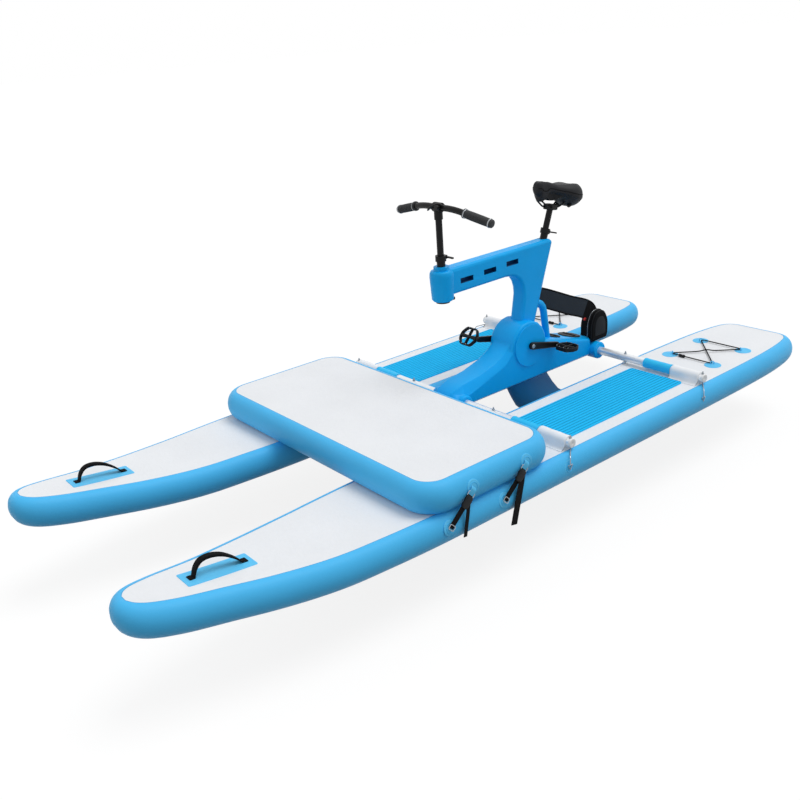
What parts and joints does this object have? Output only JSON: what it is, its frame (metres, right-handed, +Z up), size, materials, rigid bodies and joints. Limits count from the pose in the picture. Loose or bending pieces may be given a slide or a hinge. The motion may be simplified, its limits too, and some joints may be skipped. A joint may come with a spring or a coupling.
{
  "type": "pontoon water bike",
  "caption": "Pedal water bike: inflated pontoons joined by crossbars, a moulded bicycle body, an inflated front platform, and a pedal-driven propeller and rudder.",
  "frame": {"origin": "centre of the bounding box at its bottom, level with the underside of the drive leg's shoe", "axes": "+Z up, -Y towards the bows, +X to the rider's left"},
  "size_m": [1.4566, 3.534, 1.282],
  "materials": {
    "board_skin": "welded coated fabric, white deck and light blue sides",
    "pad_foam": "grooved soft foam",
    "body_plastic": "satin moulded plastic",
    "leg_plastic": "satin moulded plastic",
    "white_plastic": "matt",
    "black_plastic": "lightly grained",
    "black_metal": "satin powder coat",
    "grip_rubber": "ribbed",
    "saddle_cover": "soft grained cover",
    "webbing": "woven",
    "bar_aluminium": "anodised",
    "steel": "plain"
  },
  "bodies": {
    "base": {"pontoon_left": "board_skin", "deck_pad_left": "pad_foam", "bow_handle_left": "webbing", "stern_bungee_left": "webbing", "bar_pocket_front_left": "white_plastic", "bar_pin_front_left": "steel", "bar_clip_front_left": "steel", "platform_strap_front_left": "webbing", "bar_pocket_rear_left": "white_plastic", "bar_pin_rear_left": "steel", "bar_clip_rear_left": "steel", "platform_strap_rear_left": "webbing", "hub_cover_left": "body_plastic", "pontoon_right": "board_skin", "deck_pad_right": "pad_foam", "bow_handle_right": "webbing", "stern_bungee_right": "webbing", "bar_pocket_front_right": "white_plastic", "bar_pin_front_right": "steel", "bar_clip_front_right": "steel", "platform_strap_front_right": "webbing", "bar_pocket_rear_right": "white_plastic", "bar_pin_rear_right": "steel", "bar_clip_rear_right": "steel", "platform_strap_rear_right": "webbing", "hub_cover_right": "body_plastic", "crossbar_front": "bar_aluminium", "crossbar_rear": "bar_aluminium", "platform": "board_skin", "body_frame": "body_plastic", "belt_pack": "webbing", "drive_leg": "leg_plastic", "leg_bolt": "steel", "seat_tube": "black_metal", "seat_collar": "black_metal"},
    "crank": {"crank_axle": "steel", "crank_gear": "steel", "crank_arm_left": "black_metal", "crank_arm_right": "black_metal"},
    "left_pedal": {"pedal_left": "black_plastic"},
    "right_pedal": {"pedal_right": "black_plastic"},
    "drive_line": {"drive_shaft": "steel"},
    "screw": {"prop_shaft": "steel", "propeller": "black_plastic"},
    "rudder_blade": {"rudder": "leg_plastic"},
    "steering": {"stem_outer": "black_metal", "stem_collar": "black_metal", "steering_cap": "black_plastic"},
    "bar_lever": {"stem_lever": "black_metal"},
    "bar_post": {"stem_upper": "black_metal", "bar_clamp": "black_metal", "handlebar": "black_metal", "grip_left": "grip_rubber", "grip_right": "grip_rubber"},
    "seat": {"seat_post": "black_metal", "saddle_rails": "steel", "saddle": "saddle_cover"},
    "seat_clamp_lever": {"seat_lever": "black_metal"},
    "big_lid": {"lid_large": "black_plastic"},
    "little_lid": {"lid_small": "black_plastic"}
  },
  "joints": [
    {"name": "crank_spin", "type": "hinge", "parent": "base", "child": "crank", "pos_m": [0, 0.448, 0.56], "axis": [1, 0, 0], "continuous": true},
    {"name": "pedal_left_spin", "type": "hinge", "parent": "crank", "child": "left_pedal", "pos_m": [0.1489, 0.61378, 0.52234], "axis": [1, 0, 0], "continuous": true},
    {"name": "pedal_right_spin", "type": "hinge", "parent": "crank", "child": "right_pedal", "pos_m": [-0.1489, 0.28222, 0.59766], "axis": [1, 0, 0], "continuous": true},
    {"name": "drive_shaft_spin", "type": "hinge", "parent": "base", "child": "drive_line", "pos_m": [0, 0.6122, 0.13], "axis": [0, 0.3567, -0.9342], "continuous": true},
    {"name": "propeller_spin", "type": "hinge", "parent": "base", "child": "screw", "pos_m": [0, 0.6122, 0.13], "axis": [0, 1, 0], "continuous": true},
    {"name": "steering_turn", "type": "hinge", "parent": "base", "child": "steering", "pos_m": [0, 0, 0.95], "axis": [0, 0, 1], "range_deg": [-40, 40]},
    {"name": "rudder_turn", "type": "hinge", "parent": "base", "child": "rudder_blade", "pos_m": [0, 1.0272, 0.012], "axis": [0, 0, 1], "range_deg": [-40, 40]},
    {"name": "handlebar_height", "type": "slide", "parent": "steering", "child": "bar_post", "axis": [0, 0, 1], "range_m": [-0.06, 0.04]},
    {"name": "stem_lever_swing", "type": "hinge", "parent": "steering", "child": "bar_lever", "pos_m": [0, 0.03, 1.0503], "axis": [0, 0, 1], "range_deg": [0, 110]},
    {"name": "seat_height", "type": "slide", "parent": "base", "child": "seat", "axis": [0, 0.342, 0.9397], "range_m": [-0.06, 0.04]},
    {"name": "seat_lever_swing", "type": "hinge", "parent": "base", "child": "seat_clamp_lever", "pos_m": [0, 0.66679, 1.03238], "axis": [0, 0.342, 0.9397], "range_deg": [0, 110]},
    {"name": "lid_large_turn", "type": "hinge", "parent": "base", "child": "big_lid", "pos_m": [0, 0.804, 0.49746], "axis": [0, 0.2214, 0.9752], "range_deg": [0, 90]},
    {"name": "lid_small_turn", "type": "hinge", "parent": "base", "child": "little_lid", "pos_m": [0, 0.69, 0.52334], "axis": [0, 0.2214, 0.9752], "range_deg": [0, 90]}
  ],
  "couplings": [
    {"joint": "drive_shaft_spin", "follows": "crank_spin", "ratio": -3.5},
    {"joint": "propeller_spin", "follows": "crank_spin", "ratio": -5.8333},
    {"joint": "rudder_turn", "follows": "steering_turn", "ratio": -1}
  ]
}
